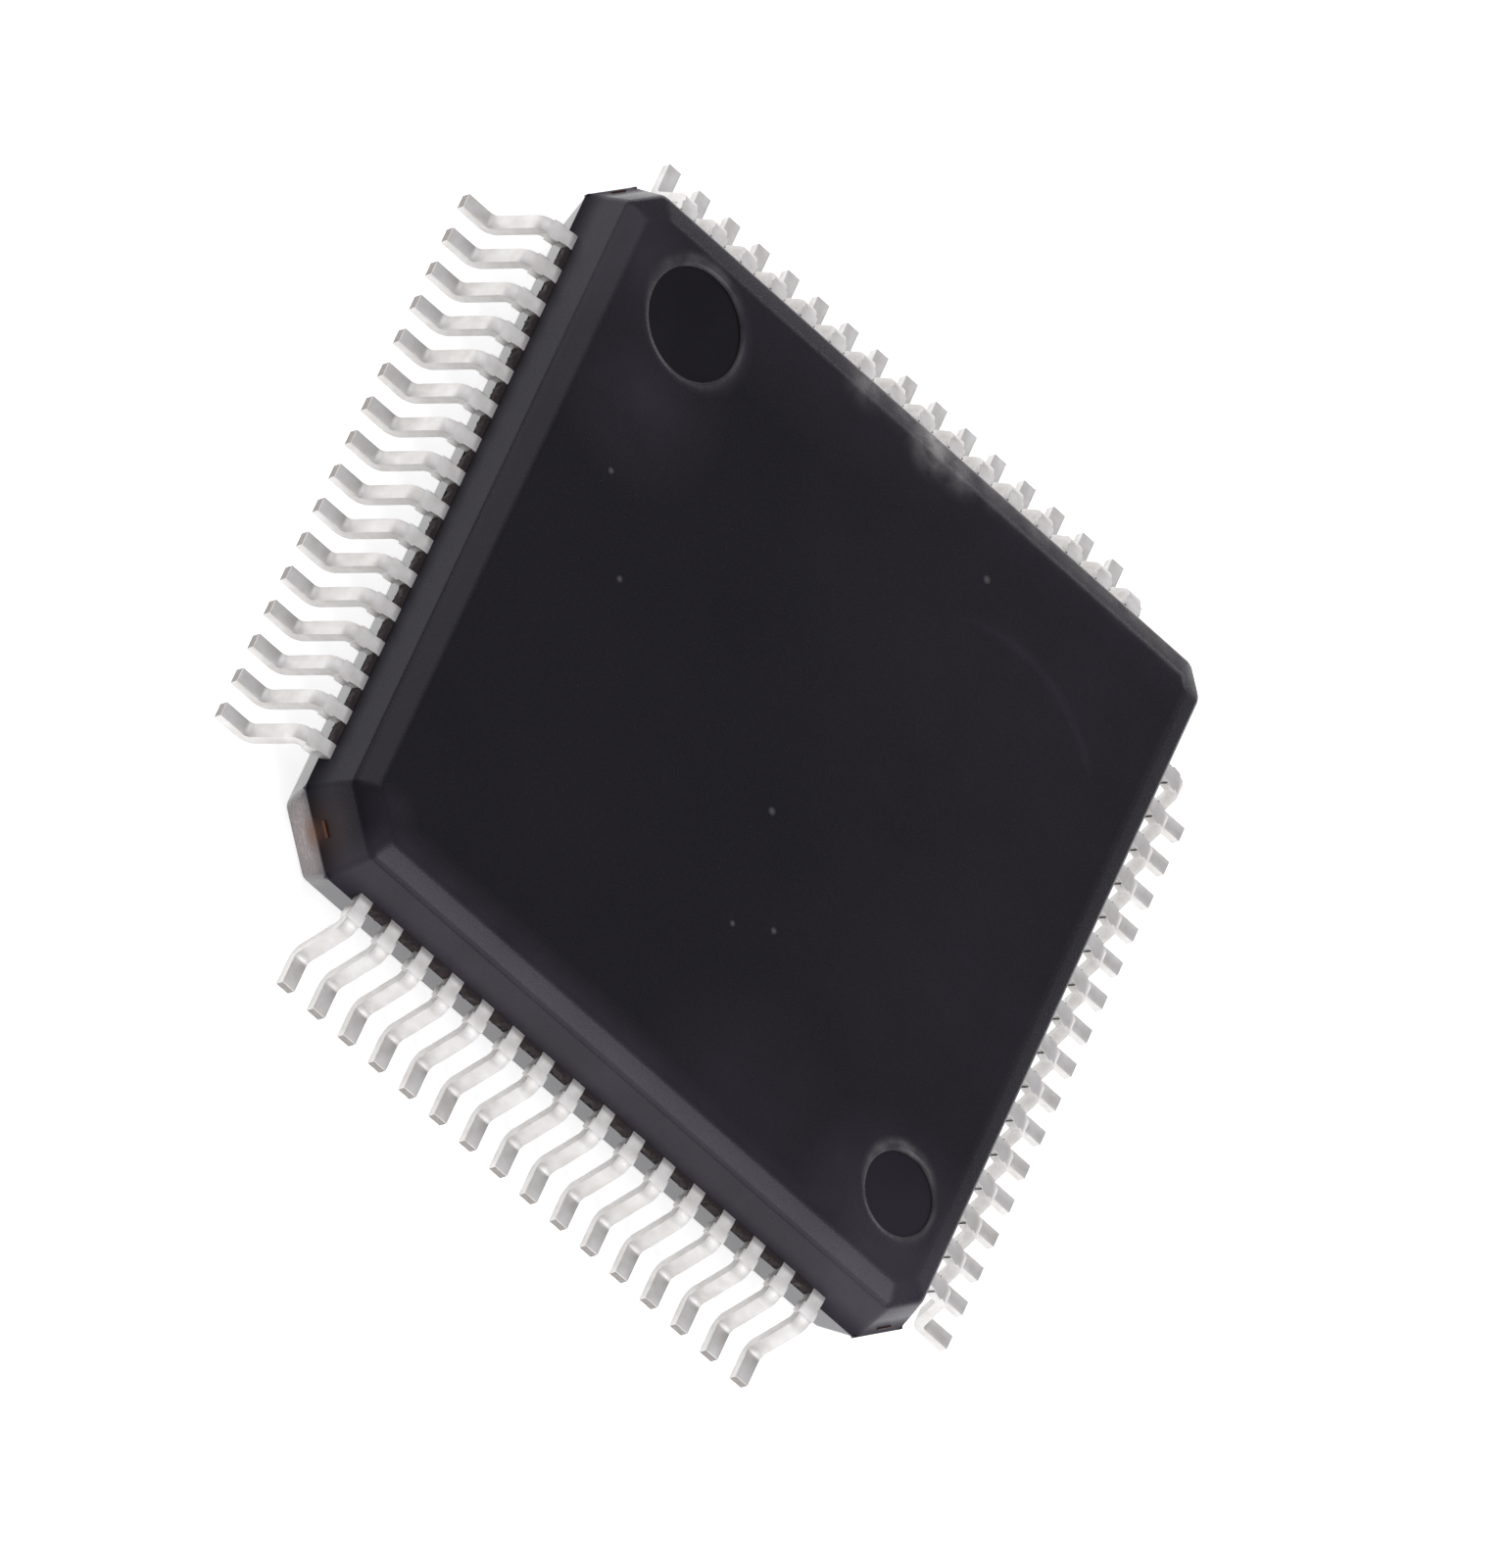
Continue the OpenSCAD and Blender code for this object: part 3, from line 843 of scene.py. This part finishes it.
def model_lead(s):
    """One lead, along +X in the middle of its side, drawn and bent from its flat root."""
    half = BODY_HIGH.x
    frame_z = LEAD_HIGH.z - s.sheet_t / 2
    radius = s.bend_r + s.sheet_t / 2
    fan_x = half - s.finger_root_l
    fall, slope = -s.shoulder_fall, -s.lead_slope
    root = (half, frame_z)
    heel = (half + s.shoulder_l, frame_z - s.shoulder_l * math.tan(s.shoulder_fall))
    toe_z = LEAD_LOW.z + s.sheet_t / 2
    toe = (heel[0] + (heel[1] - toe_z) / math.tan(s.lead_slope), toe_z)
    at_root = tangent(0, fall, radius)
    at_heel = tangent(fall, slope, radius)
    at_toe = tangent(slope, 0, radius)
    dam_start, dam_l = s.dam_gap / math.cos(fall), s.dam_l / math.cos(fall)
    shoulder = s.shoulder_l / math.cos(fall)

    # Section of the sheet, where the fingers start to lean
    start_clean()
    bpy.ops.mesh.primitive_plane_add(
        size=1, location=(fan_x, 0, frame_z), rotation=(0, math.pi / 2, 0)
    )
    lead = bpy.context.object
    lead.scale = (s.sheet_t, s.lead_w, 1)
    settle(lead)
    bpy.ops.object.mode_set(mode="EDIT")
    bpy.ops.mesh.select_all(action="SELECT")
    run_on(half - at_root - fan_x, 0)
    bend(root, 0, fall, radius, ROOT_STEPS)
    run_on(dam_start - at_root, fall)
    run_on(dam_l, fall)
    run_on(shoulder - dam_start - dam_l - at_heel, fall)
    bend(heel, fall, slope, radius, HEEL_STEPS)
    drop = math.hypot(toe[0] - heel[0], toe[1] - heel[1])
    run_on(drop - at_heel - at_toe, slope)
    bend(toe, slope, 0, radius, TOE_STEPS)
    run_on(LEAD_HIGH.x - toe[0] - at_toe, 0)

    # What is left of the dam bar stands out on both sides
    dam_x = half + s.dam_gap + s.dam_l / 2
    for side in (-1, 1):
        pick(lead, "FACE", lambda f: f.normal.y * side > SQUARE
             and abs(f.calc_center_median().x - dam_x) < s.dam_l / 4)
        stand_out = side * (s.dam_w - s.lead_w) / 2
        bpy.ops.mesh.extrude_region_move(TRANSFORM_OT_translate={"value": (0, stand_out, 0)})

    # The finger narrows to its tip
    pick(lead, "FACE", lambda f: f.normal.x < -SQUARE
         and f.calc_center_median().x < fan_x + SLACK)
    run_on(LEAD_LOW.x - fan_x, 0)
    bpy.ops.transform.resize(
        value=(1, s.finger_tip_w / s.lead_w, 1), center_override=(LEAD_LOW.x, 0, frame_z)
    )
    bpy.ops.mesh.select_all(action="SELECT")
    bpy.ops.mesh.normals_make_consistent(inside=False)
    bpy.ops.object.mode_set(mode="OBJECT")
    apply_modifier(
        lead, "BEVEL", width=s.edge_r, segments=2, limit_method="ANGLE",
        angle_limit=math.radians(40),
    )
    # Where roundings meet, they leave points on top of each other
    bpy.ops.object.mode_set(mode="EDIT")
    bpy.ops.mesh.select_all(action="SELECT")
    bpy.ops.mesh.remove_doubles(threshold=SAME_PLACE)
    bpy.ops.object.mode_set(mode="OBJECT")
    lead.data.materials.clear()
    lead.data.materials.append(tin_plating(s.tin))
    lead.data.materials.append(sheared_end(s.cut_end))
    for face in lead.data.polygons:
        at_tip = face.center.x > LEAD_HIGH.x - SLACK
        face.material_index = int(face.normal.x > SQUARE and at_tip)
    finish_mesh(lead, 35)
    return lead


def place_lead(lead, pin, s):
    """A copy of the lead at its pin, with its finger leaning towards the die."""
    side, place = divmod(pin - 1, LEADS_A_SIDE)
    across = place - (LEADS_A_SIDE - 1) / 2
    fan_x = BODY_HIGH.x - s.finger_root_l
    lean = across * (s.finger_pitch - LEAD_PITCH) / (fan_x - LEAD_LOW.x)
    copy = copy_to_side(lead, side, across * LEAD_PITCH)
    for vertex in copy.data.vertices:
        if vertex.co.x < fan_x:
            vertex.co.y += lean * (fan_x - vertex.co.x)
    return copy


class CHIP_OT_leads(bpy.types.Operator):
    """Model one gull-wing lead and set its copies round the body, four to a piece"""

    bl_idname = "chip.leads"
    bl_label = "Gull-wing Leads"

    def execute(self, context):
        s = context.scene.chip_leads
        lead = model_lead(s)
        for first in range(1, SIDES * LEADS_A_SIDE, LEADS_A_NODE):
            last = first + LEADS_A_NODE - 1
            four = join([place_lead(lead, pin, s) for pin in range(first, last + 1)])
            digits = f"{first:02d}_{last:02d}"
            ride(four, f"plated_leads_{digits}", "tin_plated_copper", f"leads_{digits}")
        bpy.data.objects.remove(lead)
        return {"FINISHED"}


# ---------------------------------------------------------------- inside


class CHIP_OT_inside(bpy.types.Operator):
    """Finish the die pad, the adhesive, the die and the bond wires"""

    bl_idname = "chip.inside"
    bl_label = "Die Pad, Die and Wires"

    def execute(self, context):
        gold = drawn_gold()
        finishes = {
            "die_pad": lead_frame_copper(),
            "die_attach": silver_adhesive(),
            "die": silicon(),
            "wires_east": gold,
            "wires_north": gold,
            "wires_west": gold,
            "wires_south": gold,
        }
        for node, material in finishes.items():
            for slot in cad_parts[node].material_slots:
                slot.material = material
        return {"FINISHED"}


# ---------------------------------------------------------------- stage

WATTS_FOR_WHITE = 4.0  # power of a square metre of softbox that shows as white
SENSOR_WIDTH = 36.0  # of the camera, in millimetres
NEAREST, FARTHEST = 0.01, 10.0  # what the camera sees, in metres


def add_softbox(name, top, bottom, width, brightness, distance):
    """A soft light that stretches between two directions from the chip and faces it."""
    top, bottom = Vector(top).normalized(), Vector(bottom).normalized()
    toward, along = (top + bottom).normalized(), (top - bottom).normalized()
    length = 2 * distance * math.tan(top.angle(bottom) / 2)
    light = bpy.data.lights.new(name, "AREA")
    light.shape, light.size, light.size_y = "RECTANGLE", width, length
    light.energy = WATTS_FOR_WHITE * width * length * brightness
    softbox = bpy.data.objects.new(name, light)
    bpy.context.scene.collection.objects.link(softbox)
    turned = Matrix((along.cross(toward), along, toward)).transposed()
    softbox.matrix_world = Matrix.Translation(toward * distance) @ turned.to_4x4()


class CHIP_OT_stage(bpy.types.Operator):
    """Set up the camera, four softboxes, the room and the paper under the chip"""

    bl_idname = "chip.stage"
    bl_label = "Camera, Light and Floor"

    def execute(self, context):
        s = context.scene.chip_stage
        scene = context.scene
        scene.view_settings.view_transform = "Standard"

        # Camera: level at its azimuth and elevation, then rolled about its line of sight
        level = Matrix((
            (math.cos(s.azimuth), math.sin(s.azimuth), 0),
            (-math.sin(s.azimuth) * math.sin(s.elevation),
             math.cos(s.azimuth) * math.sin(s.elevation), math.cos(s.elevation)),
            (math.sin(s.azimuth) * math.cos(s.elevation),
             -math.cos(s.azimuth) * math.cos(s.elevation), math.sin(s.elevation)),
        )).transposed()
        turned = level @ Matrix.Rotation(s.roll, 3, "Z")
        right, up, back = (turned.col[i] for i in range(3))
        data = bpy.data.cameras.new("camera")
        data.lens, data.sensor_width = s.lens, SENSOR_WIDTH
        data.clip_start, data.clip_end = NEAREST, FARTHEST
        camera = bpy.data.objects.new("camera", data)
        scene.collection.objects.link(camera)
        middle = Vector((0, 0, (BODY_LOW.z + BODY_HIGH.z) / 2))
        aim = middle + right * s.aim_right - up * s.aim_down
        camera.matrix_world = Matrix.Translation(aim + back * s.distance) @ turned.to_4x4()
        scene.camera = camera

        # Each softbox stretches between two directions, and its width is in metres
        for name, top, bottom, width, brightness in (
            ("softbox_high", (0.42, 0.00, 0.91), (0.42, -0.36, 0.83), 0.6, s.high_light),
            ("softbox_front", (0.42, -0.36, 0.83), (0.42, -0.85, 0.32), 0.6, s.front_light),
            ("softbox_left", (0.06, 0.52, 0.85), (-0.80, 0.52, 0.30), 0.6, s.left_light),
            ("softbox_back", (0.45, 0.66, 0.45), (0.45, 0.66, 0.29), 0.27, s.back_light),
        ):
            add_softbox(name, top, bottom, width, brightness, s.box_distance)
        world = bpy.data.worlds.new("room")
        world.use_nodes = True
        world.node_tree.nodes["Background"].inputs["Color"].default_value = s.room
        scene.world = world

        start_clean()
        bpy.ops.mesh.primitive_circle_add(
            vertices=ROUND_POINTS, radius=s.floor_r, fill_type="NGON"
        )
        floor = context.object
        bpy.ops.object.mode_set(mode="EDIT")
        pick(floor, "EDGE", lambda e: True)
        bpy.ops.mesh.region_to_loop()
        # The paper curves up all round
        reach, height = s.floor_r, 0.0
        for step in range(1, COVE_STEPS + 1):
            turn = math.pi / 2 * step / COVE_STEPS
            wider = s.floor_r + s.cove_r * math.sin(turn)
            higher = s.cove_r * (1 - math.cos(turn))
            bpy.ops.mesh.extrude_region_move(
                TRANSFORM_OT_translate={"value": (0, 0, higher - height)}
            )
            scale = wider / reach
            bpy.ops.transform.resize(value=(scale, scale, 1), center_override=(0, 0, 0))
            reach, height = wider, higher
        bpy.ops.object.mode_set(mode="OBJECT")
        smooth_by_angle(floor, 30)
        floor.name = "paper_floor"
        floor.data.materials.append(white_paper(s.floor, s.floor_glow))
        return {"FINISHED"}


# ---------------------------------------------------------------- add-on


class CHIP_PT_panel(bpy.types.Panel):
    """Steps and settings of the chip"""

    bl_idname = "CHIP_PT_panel"
    bl_label = "Quad Flat Pack"
    bl_space_type = "VIEW_3D"
    bl_region_type = "UI"
    bl_category = "Chip"

    def draw(self, context):
        for operator, settings in STEPS:
            box = self.layout.box()
            box.operator(operator.bl_idname)
            group = getattr(context.scene, settings) if settings else None
            for name in group.__annotations__ if group else ():
                box.prop(group, name)


STEPS = (
    (CHIP_OT_body, "chip_body"),
    (CHIP_OT_flash, "chip_flash"),
    (CHIP_OT_leads, "chip_leads"),
    (CHIP_OT_inside, None),
    (CHIP_OT_stage, "chip_stage"),
)
SETTINGS = {
    "chip_body": BodySettings, "chip_flash": FlashSettings, "chip_leads": LeadSettings,
    "chip_stage": StageSettings,
}
CLASSES = (*SETTINGS.values(), *(operator for operator, _ in STEPS), CHIP_PT_panel)


def register():
    for cls in CLASSES:
        bpy.utils.register_class(cls)
    for name, group in SETTINGS.items():
        setattr(bpy.types.Scene, name, bpy.props.PointerProperty(type=group))


def unregister():
    for name in SETTINGS:
        delattr(bpy.types.Scene, name)
    for cls in reversed(CLASSES):
        bpy.utils.unregister_class(cls)


def main():
    register()
    bpy.ops.chip.body()
    bpy.ops.chip.flash()
    bpy.ops.chip.leads()
    bpy.ops.chip.inside()
    bpy.ops.chip.stage()


if __name__ == "__main__":
    main()
